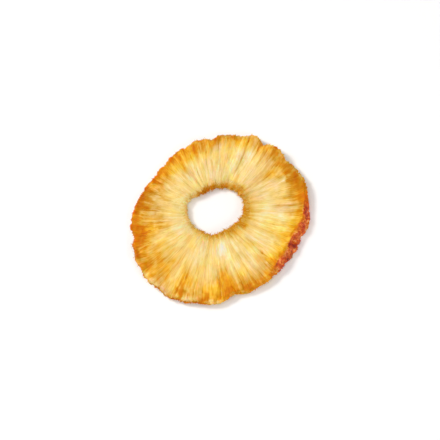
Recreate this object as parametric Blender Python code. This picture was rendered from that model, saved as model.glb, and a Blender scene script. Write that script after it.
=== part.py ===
"""Dried pineapple ring: one cored slice of the fruit, dried until its rim has puckered.

The ring lies flat with its better face up. +X and +Y are across it and +Z points up, away from
the table. It is turned as a plain blank, with a rounded section, and every point of the blank is
then moved to where drying has pulled it. A point of the blank is known by three numbers:

    turn    its direction round the ring, in radians from +X
    share   how far out it is, from 0 in the core hole's wall to 1 at the rim
    level   how high in the slice it is, from -1 on the underside to 1 on the upper face
"""

import math
import random

import bmesh
import bpy
import numpy as np

MM = 0.001
TAU = 2 * math.pi

# The slice across: its outline and its core hole are both a little oval.
RING_LENGTH = 79.6 * MM
RING_WIDTH = 75.6 * MM
RING_LEAN = math.radians(35)
HOLE_LENGTH = 24.8 * MM
HOLE_WIDTH = 22.0 * MM
HOLE_LEAN = math.radians(0)
HOLE_OFFSET_X = -1.0 * MM
HOLE_OFFSET_Y = 3.8 * MM

# How thick the slice is, at the hole, between hole and rim, and at the rim.
THICKNESS_AT_HOLE = 3.2 * MM
THICKNESS_BETWEEN = 3.8 * MM
THICKNESS_AT_RIM = 2.4 * MM

# The stretch of rim that dried thick, with its cut side leaning outwards.
THICK_RIM_EXTRA = 2.4 * MM
THICK_RIM_DIRECTION = math.radians(-22)
THICK_RIM_REACH = math.radians(26)
RIM_FLARE = 2.4 * MM

# The middle of the slice above the table, and how drying has warped it.
MIDDLE_HEIGHT = 2.3 * MM
SADDLE = 0.7 * MM
SADDLE_DIRECTION = math.radians(58)
RIM_LIFT = 0.6 * MM
PLEAT_HEIGHT = 1.3 * MM
PLEATS_ROUND = 15
HOLE_LIP_DROP = 0.8 * MM
HOLE_LIP_DIRECTION = math.radians(110)
HOLE_LIP_REACH = math.radians(80)

# Fibre bundles on both faces, torn fibre ends round the hole, and the ragged rim.
BUNDLES_ROUND = 72
BUNDLE_HEIGHT = 0.4 * MM
TEETH_ROUND = 76
TOOTH_LENGTH = 0.4 * MM
RAGS_ROUND = 58
RAG_LENGTH = 0.42 * MM
WALL_CRINKLES_ROUND = 58
WALL_CRINKLE_DEPTH = 0.45 * MM

# Corners and bites of the outline: direction in degrees, reach outwards, half width in degrees.
RIM_BUMPS = (
    (15, 0.9 * MM, 9),
    (37, -0.7 * MM, 6),
    (50, 0.4 * MM, 4),
    (57, -1.2 * MM, 3.5),
    (65, 1.2 * MM, 5),
    (73, -0.7 * MM, 5),
    (94, -0.9 * MM, 3),
    (96, 1.0 * MM, 20),
    (122, 0.4 * MM, 10),
    (140, -0.6 * MM, 6),
    (153, 0.6 * MM, 5),
    (189, -1.5 * MM, 5),
    (199, -0.6 * MM, 5),
    (224, 0.4 * MM, 5),
    (238, 1.3 * MM, 6),
    (250, 0.5 * MM, 12),
    (268, 1.3 * MM, 7),
    (281, -1.2 * MM, 6),
    (310, 0.3 * MM, 4),
    (325, 0.4 * MM, 8),
    (354, 1.9 * MM, 13),
)
HOLE_BUMPS = (
    (62, 0.5 * MM, 20),
    (158, 1.5 * MM, 18),
    (262, 0.6 * MM, 12),
)

# Folds that run outwards: direction in degrees, height, half width in degrees, first and last share.
FOLDS = (
    (68, 0.9 * MM, 4.5, 0.45, 1.0),
    (60, -0.7 * MM, 4.0, 0.30, 1.0),
    (51, 0.7 * MM, 4.0, 0.50, 1.0),
    (34, -0.9 * MM, 6.0, 0.35, 1.0),
    (117, -0.6 * MM, 2.5, 0.05, 0.55),
    (0, -0.5 * MM, 2.0, 0.40, 0.90),
    (314, -0.9 * MM, 2.5, 0.45, 1.0),
    (262, -0.7 * MM, 3.0, 0.45, 1.0),
    (236, -0.8 * MM, 3.0, 0.50, 1.0),
    (204, 0.7 * MM, 4.0, 0.50, 1.0),
    (186, -0.7 * MM, 3.0, 0.50, 1.0),
)

# How finely the blank is divided, and how round the section's two ends are.
STEPS_ROUND = 240
STEPS_UPPER_FACE = 8
STEPS_UNDERSIDE = 7
STEPS_RIM_WALL = 4
STEPS_HOLE_WALL = 3
RIM_ROUNDING = 0.04
HOLE_ROUNDING = 0.025

FLESH_COLOUR = (0.87, 0.56, 0.16, 1.0)


def smooth_step(x):
    """Rises from 0 at 0 to 1 at 1 with no corner, and stays level outside."""
    x = np.clip(x, 0.0, 1.0)
    return x * x * (3.0 - 2.0 * x)


def uneven(turn, share, around, along, seed):
    """An uneven height from -1 to 1, with `around` cells round the ring and `along` cells outwards."""
    draw = random.Random(seed)
    heights = np.array([[draw.uniform(-1, 1) for _ in range(around)] for _ in range(along + 1)])
    across = np.mod(turn / TAU, 1.0) * around
    outwards = np.clip(share, 0.0, 1.0) * along
    left = np.minimum(across.astype(int), around - 1)
    right = (left + 1) % around
    inner = np.minimum(outwards.astype(int), along - 1)
    blend = smooth_step(across - left)
    inner_height = heights[inner, left] * (1 - blend) + heights[inner, right] * blend
    outer_height = heights[inner + 1, left] * (1 - blend) + heights[inner + 1, right] * blend
    blend_out = smooth_step(outwards - inner)
    return inner_height * (1 - blend_out) + outer_height * blend_out


def bump(turn, direction, half_width, power=2):
    """1 in that direction, fading to 0 on both sides of it, flatter on top with a higher power."""
    away = np.mod(turn - direction + math.pi, TAU) - math.pi
    return np.exp(-(np.abs(away / half_width) ** power))


def edge_radius(turn, length, width, lean, bumps):
    """Distance from an oval's centre to its edge in direction turn, with the edge's own bumps."""
    a, b = length / 2, width / 2
    radius = a * b / np.hypot(b * np.cos(turn - lean), a * np.sin(turn - lean))
    for degrees, reach, half_width in bumps:
        radius = radius + reach * bump(turn, math.radians(degrees), math.radians(half_width))
    return radius


def rim_radius(turn):
    """The ring's outline, from the ring's centre, with a ragged edge."""
    rags = uneven(turn, 0 * turn, RAGS_ROUND, 1, seed=3)
    return edge_radius(turn, RING_LENGTH, RING_WIDTH, RING_LEAN, RIM_BUMPS) + RAG_LENGTH * rags


def hole_radius(turn):
    """The core hole's edge, from the hole's centre, with torn fibre ends."""
    teeth = uneven(turn, 0 * turn, TEETH_ROUND, 1, seed=5)
    waves = uneven(turn, 0 * turn, TEETH_ROUND // 6, 1, seed=6)
    edge = edge_radius(turn, HOLE_LENGTH, HOLE_WIDTH, HOLE_LEAN, HOLE_BUMPS)
    return edge + TOOTH_LENGTH * (teeth + waves)


def thick_rim(turn):
    """1 where the rim is thick and its cut side leans outwards, 0 on the rest."""
    return bump(turn, THICK_RIM_DIRECTION, THICK_RIM_REACH, power=4)


def lip_drop(turn, share):
    """How far the upper face curls down into the hole on its far side."""
    return HOLE_LIP_DROP * bump(turn, HOLE_LIP_DIRECTION, HOLE_LIP_REACH) * (1 - smooth_step(share / 0.2))


def half_thickness(turn, share):
    """Half the slice's thickness at that place."""
    at_rim = THICKNESS_AT_RIM + THICK_RIM_EXTRA * thick_rim(turn)
    inner = THICKNESS_AT_HOLE + (THICKNESS_BETWEEN - THICKNESS_AT_HOLE) * smooth_step(share / 0.3)
    outwards = smooth_step((share - 0.45) / 0.55)
    return 0.5 * (inner * (1 - outwards) + at_rim * outwards - lip_drop(turn, share))


def folds(turn, share):
    """Height of the long folds and creases that run from the hole towards the rim."""
    height = 0 * turn
    for degrees, rise, half_width, first, last in FOLDS:
        middle, reach = (first + last) / 2, (last - first) / 2
        along = np.clip(1 - ((np.clip(share, 0, 1) - middle) / (reach + 0.15)) ** 2, 0, 1)
        height = height + rise * along * bump(turn, math.radians(degrees), math.radians(half_width))
    return height


def middle_height(turn, share):
    """Height above the table of the slice's middle, warped by drying."""
    pleats = uneven(turn, 0 * turn, PLEATS_ROUND, 1, seed=11)
    return (
        MIDDLE_HEIGHT
        + SADDLE * np.cos(2 * (turn - SADDLE_DIRECTION)) * share**2
        + RIM_LIFT * share**3
        + PLEAT_HEIGHT * pleats * share**2
        + folds(turn, share)
        - 0.5 * lip_drop(turn, share)
    )


def bundle_relief(turn, share, level):
    """How far the fibre bundles stand out of the upper face or the underside."""
    upper = uneven(turn, share, BUNDLES_ROUND, 4, seed=21)
    under = uneven(turn, share, BUNDLES_ROUND, 4, seed=22)
    fade = smooth_step((share + 0.05) / 0.15)
    return BUNDLE_HEIGHT * fade * np.where(level > 0, upper, under)


def dried_shape(turn, share, level):
    """Where drying has taken each point of the blank, as an array of x, y and z."""
    lean_in = RIM_FLARE * thick_rim(turn) * smooth_step((share - 0.8) / 0.2) * (1 + level) / 2
    on_wall = smooth_step((share - 1 + RIM_ROUNDING) / RIM_ROUNDING)
    crinkle = WALL_CRINKLE_DEPTH * on_wall * uneven(turn, (level + 1) / 2, WALL_CRINKLES_ROUND, 3, seed=31)
    inner, outer = hole_radius(turn), rim_radius(turn) - lean_in + crinkle
    inner_x = HOLE_OFFSET_X + inner * np.cos(turn)
    inner_y = HOLE_OFFSET_Y + inner * np.sin(turn)
    x = inner_x + (outer * np.cos(turn) - inner_x) * share
    y = inner_y + (outer * np.sin(turn) - inner_y) * share
    relief = bundle_relief(turn, share, level)
    z = middle_height(turn, share) + level * (half_thickness(turn, share) + relief)
    return np.column_stack([x, y, z])


def section_points():
    """The blank's section as (share, level) pairs: two flat faces and two rounded ends."""
    first, last = HOLE_ROUNDING, 1 - RIM_ROUNDING
    reach = last - first
    upper = [(first + reach * i / STEPS_UPPER_FACE, 1.0) for i in range(STEPS_UPPER_FACE + 1)]
    under = [(last - reach * i / STEPS_UNDERSIDE, -1.0) for i in range(STEPS_UNDERSIDE + 1)]
    rim_angles = [math.pi * (0.5 - i / STEPS_RIM_WALL) for i in range(1, STEPS_RIM_WALL)]
    hole_angles = [math.pi * (1.5 - i / STEPS_HOLE_WALL) for i in range(1, STEPS_HOLE_WALL)]
    rim_wall = [(last + RIM_ROUNDING * math.cos(a), math.sin(a)) for a in rim_angles]
    hole_wall = [(first + HOLE_ROUNDING * math.cos(a), math.sin(a)) for a in hole_angles]
    return upper + rim_wall + under + hole_wall


def turned_blank(name):
    """The plain ring before drying, as a mesh whose radius is 1 at the hole and 2 at the rim."""
    blank = bmesh.new()
    corners = [blank.verts.new((1 + share, 0, level)) for share, level in section_points()]
    sides = [blank.edges.new(pair) for pair in zip(corners, corners[1:] + corners[:1])]
    bmesh.ops.spin(
        blank,
        geom=corners + sides,
        cent=(0, 0, 0),
        axis=(0, 0, 1),
        angle=TAU,
        steps=STEPS_ROUND,
        use_merge=True,
    )
    bmesh.ops.recalc_face_normals(blank, faces=blank.faces)
    mesh = bpy.data.meshes.new(name)
    blank.to_mesh(mesh)
    blank.free()
    return mesh


def dry(mesh):
    """Moves each point of the blank to its place, flat where it rests, with the origin under the middle."""
    points = np.empty(len(mesh.vertices) * 3)
    mesh.vertices.foreach_get("co", points)
    points = points.reshape(-1, 3)
    turn = np.arctan2(points[:, 1], points[:, 0])
    share = np.hypot(points[:, 0], points[:, 1]) - 1
    placed = dried_shape(turn, share, points[:, 2])
    placed[:, 2] = np.maximum(placed[:, 2], 0.0)
    placed[:, :2] -= (placed[:, :2].max(axis=0) + placed[:, :2].min(axis=0)) / 2
    mesh.vertices.foreach_set("co", placed.ravel())
    mesh.update()


def flesh_material():
    """Dried flesh: golden yellow, half matt."""
    material = bpy.data.materials.new("dried_flesh")
    material.use_nodes = True
    shader = material.node_tree.nodes["Principled BSDF"]
    shader.inputs["Base Color"].default_value = FLESH_COLOUR
    shader.inputs["Roughness"].default_value = 0.5
    shader.inputs["Metallic"].default_value = 0.0
    material.diffuse_color = FLESH_COLOUR
    return material


def main():
    for old in list(bpy.data.objects):
        bpy.data.objects.remove(old)
    parts = bpy.data.collections.new("dried_pineapple_ring")
    bpy.context.scene.collection.children.link(parts)
    mesh = turned_blank("pineapple_ring")
    dry(mesh)
    mesh.shade_smooth()
    mesh.materials.append(flesh_material())
    parts.objects.link(bpy.data.objects.new("pineapple_ring", mesh))


main()
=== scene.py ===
"""Dried pineapple ring: the finished surface of one cored, dried slice of the fruit.

The ring is turned as a finely divided blank and dried with the same form as its plain solid: the
same outline, warp, folds and fibre bundles. Finer layers go on top of that form: fibres with narrow
grooves between them, long creases, puckered skin near the rim, a torn hole edge and a crinkled cut
side. A point of the blank is known by its turn round the ring in radians from +X, its share of the
way from hole to rim, and its level from -1 on the underside to 1 on the upper face.
"""

import math
import random

import bmesh
import bpy
import numpy as np
from mathutils import Matrix, Vector


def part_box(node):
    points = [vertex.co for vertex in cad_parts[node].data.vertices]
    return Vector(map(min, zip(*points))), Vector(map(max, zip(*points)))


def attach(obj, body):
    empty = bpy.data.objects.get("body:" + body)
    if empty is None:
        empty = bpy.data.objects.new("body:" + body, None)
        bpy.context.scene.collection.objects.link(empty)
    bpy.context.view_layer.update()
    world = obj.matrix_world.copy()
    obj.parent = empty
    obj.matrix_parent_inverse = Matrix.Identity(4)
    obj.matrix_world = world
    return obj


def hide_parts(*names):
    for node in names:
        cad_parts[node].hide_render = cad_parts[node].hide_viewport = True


MM = 0.001
TAU = 2 * math.pi

# The slice across: its outline and its core hole are both a little oval.
RING_LENGTH = 79.6 * MM
RING_WIDTH = 75.6 * MM
RING_LEAN = math.radians(35)
HOLE_LENGTH = 24.8 * MM
HOLE_WIDTH = 22.0 * MM
HOLE_LEAN = math.radians(0)
HOLE_OFFSET_X = -1.0 * MM
HOLE_OFFSET_Y = 3.8 * MM

# How thick the slice is, at the hole, between hole and rim, and at the rim.
THICKNESS_AT_HOLE = 3.2 * MM
THICKNESS_BETWEEN = 3.8 * MM
THICKNESS_AT_RIM = 2.4 * MM

# The stretch of rim that dried thick, with its cut side leaning outwards.
THICK_RIM_EXTRA = 2.4 * MM
THICK_RIM_DIRECTION = math.radians(-22)
THICK_RIM_REACH = math.radians(26)
RIM_FLARE = 2.4 * MM

# The middle of the slice above the table, and how drying has warped it.
MIDDLE_HEIGHT = 2.3 * MM
SADDLE = 0.7 * MM
SADDLE_DIRECTION = math.radians(58)
RIM_LIFT = 0.6 * MM
PLEAT_HEIGHT = 1.3 * MM
PLEATS_ROUND = 15
HOLE_LIP_DROP = 0.8 * MM
HOLE_LIP_DIRECTION = math.radians(110)
HOLE_LIP_REACH = math.radians(80)

# Shares of the way to the rim at which the form changes.
LIP_ENDS = 0.2
FULL_THICKNESS_FROM = 0.3
THINNING_FROM = 0.45
FLARE_FROM = 0.8
NICKS_FROM = 0.93
WAVES_FROM = 0.86

# Fibre bundles on both faces, torn fibre ends round the hole, and the ragged rim.
BUNDLES_ROUND = 72
BUNDLE_HEIGHT = 0.28 * MM
TEETH_ROUND = 76
TOOTH_LENGTH = 0.4 * MM
RAGS_ROUND = 58
RAG_LENGTH = 0.42 * MM
WALL_CRINKLES_ROUND = 58
WALL_CRINKLE_DEPTH = 0.45 * MM

# Corners and bites of the outline: direction in degrees, reach outwards, half width in degrees.
RIM_BUMPS = (
    (15, 0.9 * MM, 9),
    (37, -0.7 * MM, 6),
    (50, 0.4 * MM, 4),
    (57, -1.2 * MM, 3.5),
    (65, 1.2 * MM, 5),
    (73, -0.7 * MM, 5),
    (94, -0.9 * MM, 3),
    (96, 1.0 * MM, 20),
    (122, 0.4 * MM, 10),
    (140, -0.6 * MM, 6),
    (153, 0.6 * MM, 5),
    (189, -1.5 * MM, 5),
    (199, -0.6 * MM, 5),
    (224, 0.4 * MM, 5),
    (238, 1.3 * MM, 6),
    (250, 0.5 * MM, 12),
    (268, 1.3 * MM, 7),
    (281, -1.2 * MM, 6),
    (310, 0.3 * MM, 4),
    (325, 0.4 * MM, 8),
    (354, 1.9 * MM, 13),
)
HOLE_BUMPS = (
    (62, 0.5 * MM, 20),
    (158, 1.5 * MM, 18),
    (262, 0.6 * MM, 12),
)

# Folds that run outwards: direction in degrees, height, half width in degrees, first and last share.
FOLDS = (
    (68, 0.9 * MM, 4.5, 0.45, 1.0),
    (60, -0.7 * MM, 4.0, 0.30, 1.0),
    (51, 0.7 * MM, 4.0, 0.50, 1.0),
    (34, -0.9 * MM, 6.0, 0.35, 1.0),
    (117, -0.6 * MM, 2.5, 0.05, 0.55),
    (0, -0.5 * MM, 2.0, 0.40, 0.90),
    (314, -0.9 * MM, 2.5, 0.45, 1.0),
    (262, -0.7 * MM, 3.0, 0.45, 1.0),
    (236, -0.8 * MM, 3.0, 0.50, 1.0),
    (204, 0.7 * MM, 4.0, 0.50, 1.0),
    (186, -0.7 * MM, 3.0, 0.50, 1.0),
)

# How finely the blank is divided, and how round the section's two ends are.
STEPS_ROUND = 225
CUTS_IN_STEP = 3
STEPS_UPPER_FACE = 62
STEPS_UNDERSIDE = 24
STEPS_RIM_WALL = 14
STEPS_HOLE_WALL = 8
RIM_ROUNDING = 0.04
HOLE_ROUNDING = 0.025

# Fine relief: how many run round the ring, and how far each stands out or cuts in.
RIBS_ROUND = 130
RIB_HEIGHT = 0.10 * MM
GROOVES_ROUND = 190
GROOVE_DEPTH = 0.15 * MM
FIBRES_ROUND = 400
FIBRE_HEIGHT = 0.06 * MM
PUCKER_SIZE = 2.4 * MM
PUCKER_HEIGHT = 0.25 * MM
FRAYS_ROUND = 210
FRAY_LENGTH = 0.5 * MM
NICKS_ROUND = 230
NICK_DEPTH = 0.8 * MM
RIM_WAVES_ROUND = 110
RIM_WAVE_HEIGHT = 0.35 * MM
WALL_LUMPS_ROUND = 130
WALL_LUMP_DEPTH = 0.65 * MM

# How far bundles of fibres bend towards the rim, and how far they wander from side to side.
BEND = math.radians(2.0)
WANDER = math.radians(0.9)

# Narrow creases in the upper face: direction in degrees where its fibre starts at the hole, first and
# last share, depth, and half width in degrees.
CREASES = (
    (58, 0.12, 0.97, 0.40 * MM, 0.7),
    (113, 0.05, 0.55, 0.40 * MM, 0.7),
    (119, 0.06, 0.30, 0.30 * MM, 0.6),
    (311, 0.50, 0.95, 0.45 * MM, 0.6),
    (355, 0.40, 0.84, 0.35 * MM, 0.6),
    (338, 0.45, 0.80, 0.30 * MM, 0.5),
    (39, 0.45, 0.95, 0.35 * MM, 0.7),
    (25, 0.30, 0.70, 0.30 * MM, 0.6),
    (46, 0.55, 0.97, 0.35 * MM, 0.6),
    (154, 0.30, 0.85, 0.30 * MM, 0.6),
    (163, 0.45, 0.90, 0.30 * MM, 0.6),
    (192, 0.25, 0.80, 0.35 * MM, 0.7),
    (204, 0.30, 0.80, 0.30 * MM, 0.6),
    (237, 0.35, 0.90, 0.30 * MM, 0.6),
    (246, 0.50, 1.0, 0.30 * MM, 0.5),
    (256, 0.45, 1.0, 0.35 * MM, 0.5),
    (271, 0.40, 0.95, 0.30 * MM, 0.6),
    (285, 0.45, 0.95, 0.35 * MM, 0.5),
    (292, 0.35, 0.95, 0.30 * MM, 0.5),
    (86, 0.40, 0.95, 0.25 * MM, 0.6),
    (98, 0.35, 0.80, 0.25 * MM, 0.6),
)

# By direction in degrees: how many degrees the fibres have leant by the rim, the share at which the
# rim's amber begins, how brown the rim gets, how brown the torn edge of the hole is, and the share
# that its browning reaches.
AROUND = (0, 30, 60, 90, 120, 150, 180, 210, 240, 270, 300, 330, 360)
FIBRE_LEANS = (1.5, 6, 7, 0, -2.5, -6.5, -10, -6, -1.5, 4, 4, 0, 1.5)
AMBER_STARTS = (0.56, 0.50, 0.66, 0.58, 0.44, 0.32, 0.20, 0.24, 0.38, 0.50, 0.54, 0.60, 0.56)
RIM_BROWNING = (0.70, 0.66, 0.64, 0.66, 0.68, 0.86, 0.84, 0.66, 0.50, 0.66, 0.72, 0.68, 0.70)
LIP_BROWNING = (0.54, 0.50, 0.54, 0.84, 0.89, 0.12, 0.24, 0.32, 0.56, 0.66, 0.55, 0.57, 0.54)
LIP_REACHES = (0.30, 0.31, 0.15, 0.14, 0.14, 0.07, 0.10, 0.11, 0.12, 0.20, 0.28, 0.29, 0.30)

# How brown the palest flesh is, and how deep a crease is whose painted shade is as dark as the painted
# shade in a groove can be.
CREAM_TONE = 0.235
CREASE_SHADE_DEPTH = 0.2 * MM

# Streaks of browner and paler fibres: how many round the ring and outwards, how strong they are in
# cream flesh, how much stronger in amber flesh, and the seed of their draw.
BROWN_STREAKS = (
    (130, 6, 0.07, 0.04, 92),
    (48, 5, 0.05, 0.02, 93),
)

# Streaks of golden and creamy fibres: how many round the ring and outwards, how strong, and the seed.
GOLDEN_STREAKS = (
    (80, 9, 0.14, 88),
    (42, 4, 0.30, 85),
)

# The stretch of rim whose upper edge is pale, and the one whose lower edge is dark.
PALE_RIM_DIRECTION = math.radians(256)
PALE_RIM_REACH = math.radians(42)
DARK_RIM_DIRECTION = math.radians(232)
DARK_RIM_REACH = math.radians(38)

# Darker and paler blotches: direction in degrees, share, half width in degrees, half length as a
# share, and how much browner (or, below 0, paler) the flesh is there. Most are the flesh's own
# colour; the ones marked below are painted shade and painted highlights.
BLOTCHES_AND_PAINTED_LIGHT = (
    (3, 0.93, 7, 0.06, 0.08),
    (17, 0.82, 7, 0.10, 0.27),
    (47, 0.96, 6, 0.05, 0.12),
    # Painted highlight on the ridge of the fold at 68 degrees, and painted shade in the fold at 60
    # degrees beside it.
    (66, 0.66, 1.8, 0.26, -0.13),
    (60, 0.62, 1.1, 0.26, 0.12),
    (31, 0.52, 5, 0.20, 0.24),
    (42, 0.86, 6, 0.08, 0.10),
    (63, 0.87, 1.3, 0.05, 0.36),
    (85, 0.97, 9, 0.04, 0.12),
    (99, 0.84, 2.5, 0.10, 0.22),
    (110, 0.87, 4, 0.06, 0.14),
    (145, 0.70, 4, 0.08, 0.10),
    (188, 0.84, 11, 0.10, 0.09),
    (194, 0.72, 1.0, 0.03, 0.26),
    (217, 0.78, 6, 0.12, 0.12),
    (196, 0.42, 5, 0.16, 0.18),
    (222, 0.50, 9, 0.14, 0.14),
    (150, 0.43, 7, 0.12, 0.10),
    (346, 0.84, 6, 0.12, 0.10),
    (155, 0.14, 12, 0.07, -0.18),
    (226, 0.97, 7, 0.06, -0.16),
    (182, 0.90, 6, 0.08, 0.10),
    (196, 0.84, 6, 0.16, 0.26),
    (180, 0.45, 6, 0.08, 0.08),
    (246, 0.64, 9, 0.08, 0.09),
    (112, 0.72, 9, 0.08, 0.08),
    (31, 0.62, 6, 0.07, 0.08),
    (138, 0.97, 9, 0.05, 0.14),
    (205, 0.93, 2.5, 0.07, -0.14),
    (215, 0.87, 5, 0.07, 0.10),
    (222, 0.66, 12, 0.07, 0.10),
    (346, 0.96, 6, 0.05, 0.12),
    (224, 0.82, 2.5, 0.10, -0.14),
    (239, 0.96, 6, 0.05, 0.18),
    (165, 0.96, 9, 0.06, 0.24),
    (188, 0.97, 12, 0.05, 0.14),
    (229, 0.68, 3, 0.14, 0.08),
    (248, 0.87, 3.5, 0.09, 0.30),
    (264, 0.88, 2.5, 0.07, 0.26),
    (275, 0.66, 4, 0.14, 0.12),
    (288, 0.95, 9, 0.05, 0.24),
    (316, 0.68, 7, 0.10, -0.09),
    (340, 0.85, 10, 0.08, 0.14),
    (0, 0.72, 6, 0.10, 0.08),
    (137, 0.72, 7, 0.18, 0.10),
    (150, 0.64, 6, 0.12, -0.10),
    (167, 0.50, 6, 0.10, -0.07),
    (181, 0.60, 6, 0.08, -0.09),
    (195, 0.70, 6, 0.10, 0.12),
    (211, 0.80, 5, 0.12, -0.09),
    (226, 0.88, 5, 0.08, 0.11),
    (209, 0.97, 5, 0.04, 0.12),
    (75, 0.75, 6, 0.09, 0.12),
    (270, 1.00, 2.0, 0.03, -0.35),
    (314, 0.70, 0.8, 0.14, 0.26),
    (40, 0.07, 6, 0.05, 0.16),
    # Painted shadow on the hole's lip.
    (323, 0.13, 4, 0.05, 0.22),
    (338, 0.15, 5, 0.05, 0.14),
    (14, 0.56, 6, 0.14, -0.08),
    (55, 0.58, 12, 0.20, -0.10),
    (205, 0.22, 13, 0.10, -0.12),
    (255, 0.84, 2.4, 0.12, -0.20),
    (240, 0.85, 3.0, 0.10, -0.14),
    (268, 0.78, 1.6, 0.12, -0.16),
    # Painted highlight on a ridge near the hole.
    (280, 0.27, 4.5, 0.11, -0.42),
    (315, 0.86, 8, 0.12, -0.09),
    (29, 0.79, 7, 0.09, -0.12),
    (90, 0.75, 8, 0.08, -0.07),
    (128, 0.86, 10, 0.07, -0.07),
    # Painted highlight on the same ridge, in these two rows.
    (303, 0.20, 3, 0.06, -0.20),
    (284, 0.36, 2.3, 0.11, -0.26),
    (274, 0.36, 1.6, 0.12, -0.14),
    (303, 0.27, 6, 0.12, 0.13),
    (294, 0.33, 4, 0.11, -0.12),
    (209, 0.95, 4, 0.04, 0.18),
    (203, 0.68, 3, 0.08, 0.10),
    (293, 0.70, 2, 0.22, -0.09),
    (302, 0.78, 2, 0.20, -0.08),
    (345, 0.46, 8, 0.22, -0.13),
    # Painted shade: a darker line along the rim edge from 41 to 99 degrees, in these four rows.
    (41, 0.955, 8, 0.022, 0.14),
    (58, 0.955, 8, 0.022, 0.10),
    (74, 0.955, 8, 0.024, 0.14),
    (99, 0.945, 5, 0.024, 0.13),
    (19, 0.76, 3.5, 0.07, -0.50),
    (32, 0.87, 4.5, 0.10, 0.38),
    (7, 0.74, 3.5, 0.08, 0.18),
    (14, 0.62, 4, 0.06, -0.11),
    (44, 0.84, 4, 0.10, -0.15),
    (26, 0.66, 3, 0.05, 0.22),
    (1, 0.80, 3, 0.12, -0.10),
    (-3, 0.95, 6, 0.04, -0.10),
    (192, 0.60, 3.2, 0.10, -0.36),
    (337, 0.95, 3.5, 0.04, 0.18),
    (308, 0.76, 3.5, 0.13, -0.15),
    (209, 0.85, 3.5, 0.15, 0.28),
    (204, 0.72, 3, 0.10, 0.12),
    (219, 0.77, 4, 0.10, -0.16),
    (266, 0.95, 3, 0.06, 0.40),
    (272, 0.84, 3, 0.07, -0.15),
    (281, 0.71, 3.5, 0.09, -0.16),
    (318, 0.90, 5, 0.09, 0.28),
    (332, 0.85, 3.5, 0.12, -0.15),
    (350, 0.72, 3.5, 0.16, 0.15),
    (145, 0.95, 5, 0.04, 0.28),
    (161, 0.65, 3.5, 0.12, -0.14),
    (147, 0.66, 3, 0.10, 0.12),
    (176, 0.78, 4.5, 0.10, -0.12),
    (167, 0.95, 4, 0.04, 0.32),
    (97, 0.15, 5, 0.05, 0.11),
    (321, 0.18, 4, 0.07, 0.11),
    (122, 0.945, 8, 0.030, -0.13),
    (140, 0.950, 7, 0.030, -0.12),
    (170, 0.945, 8, 0.030, -0.12),
    (217, 0.910, 6, 0.050, -0.07),
    (315, 0.935, 9, 0.035, 0.10),
    (328, 0.935, 7, 0.035, 0.14),
    (342, 0.935, 7, 0.035, 0.13),
    (333, 0.84, 1.8, 0.14, -0.14),
    (346, 0.82, 2.0, 0.14, -0.12),
)

# Where the flesh is golden and, below 0, where it is creamy: direction in degrees, share, half width
# in degrees, half length as a share, and how strongly. Two marked ones are painted light: a whiter
# highlight, and duller shade along the rim edge.
GOLDEN_PARTS_AND_PAINTED_LIGHT = (
    (218, 0.68, 22, 0.24, 0.8),
    (275, 0.82, 10, 0.18, 1.0),
    (338, 0.90, 14, 0.12, 0.8),
    (195, 0.75, 8, 0.20, 1.2),
    (90, 0.85, 8, 0.20, -0.5),
    (155, 0.15, 12, 0.08, -0.5),
    (212, 0.30, 14, 0.12, -0.6),
    (128, 0.88, 24, 0.20, 1.1),
    (326, 0.80, 10, 0.10, 0.6),
    (62, 0.95, 10, 0.10, 0.5),
    (165, 0.80, 7, 0.20, -1.0),
    (22, 0.22, 14, 0.20, -0.7),
    (290, 0.28, 14, 0.16, -0.2),
    # Painted highlight: whiter flesh on the ridge near the hole.
    (281, 0.29, 6, 0.10, -1.3),
    (294, 0.33, 5, 0.11, -0.5),
    (112, 0.16, 30, 0.12, -0.45),
    (110, 0.40, 16, 0.14, -1.3),
    (62, 0.60, 10, 0.12, -0.8),
    (348, 0.60, 9, 0.20, -0.9),
    (300, 0.84, 7, 0.12, -1.0),
    (285, 0.60, 8, 0.16, -0.6),
    (330, 0.90, 8, 0.10, 0.6),
    (268, 0.60, 16, 0.14, -0.5),
    (315, 0.30, 10, 0.12, -0.6),
    (180, 0.55, 10, 0.10, -0.5),
    (138, 0.97, 18, 0.05, 0.9),
    (315, 0.90, 6, 0.10, 0.7),
    (302, 0.60, 7, 0.20, -0.8),
    (256, 0.90, 5, 0.12, -0.8),
    # Painted shade: duller flesh along the rim edge from 40 to 100 degrees.
    (68, 0.955, 32, 0.025, -0.9),
    (255, 0.45, 8, 0.06, -0.5),
    (315, 0.34, 9, 0.07, -0.5),
    (105, 0.35, 8, 0.06, -0.4),
    (150, 0.25, 8, 0.06, -0.5),
    (195, 0.69, 8, 0.09, 0.6),
    (330, 0.65, 8, 0.06, 0.4),
    (0, 0.66, 8, 0.06, 0.4),
    (135, 0.55, 8, 0.06, 0.5),
    (15, 0.56, 8, 0.05, -0.4),
)

# Torn fibres: name, how many, how long, the shares and levels that they stand between, whether they
# point outwards, and the seed of their draw.
TORN_FIBRES = (
    ("hole_fibres", 700, 1.3 * MM, (0.0, 0.03), (-0.7, 1), False, 201),
    ("lip_fibres", 700, 1.6 * MM, (0.02, 0.14), (1, 1), False, 204),
    ("rim_fibres", 900, 0.9 * MM, (0.97, 1.0), (-0.7, 1), True, 202),
)
FACE_FIBRES = 400
FIBRE_THICKNESS = 0.16 * MM
LOWEST_ROOT = 0.1 * MM
LOWEST_TIP = 0.05 * MM

# The studio floor: how far it is flat, and the length, steps and last slope of its curve upwards.
FLOOR_REACH = 0.9
FLOOR_CURVE_LENGTH = 1.2
FLOOR_CURVE_STEPS = 24
FLOOR_CURVE_END = math.radians(80)
FLOOR_COLOUR = (0.94, 0.96, 0.97, 1.0)

# The floor's faint glow: the distances that it grows between, and its strength at each.
GLOW_DISTANCES = (0.4, 1.1)
GLOW_STRENGTHS = (0.04, 0.50)

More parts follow.
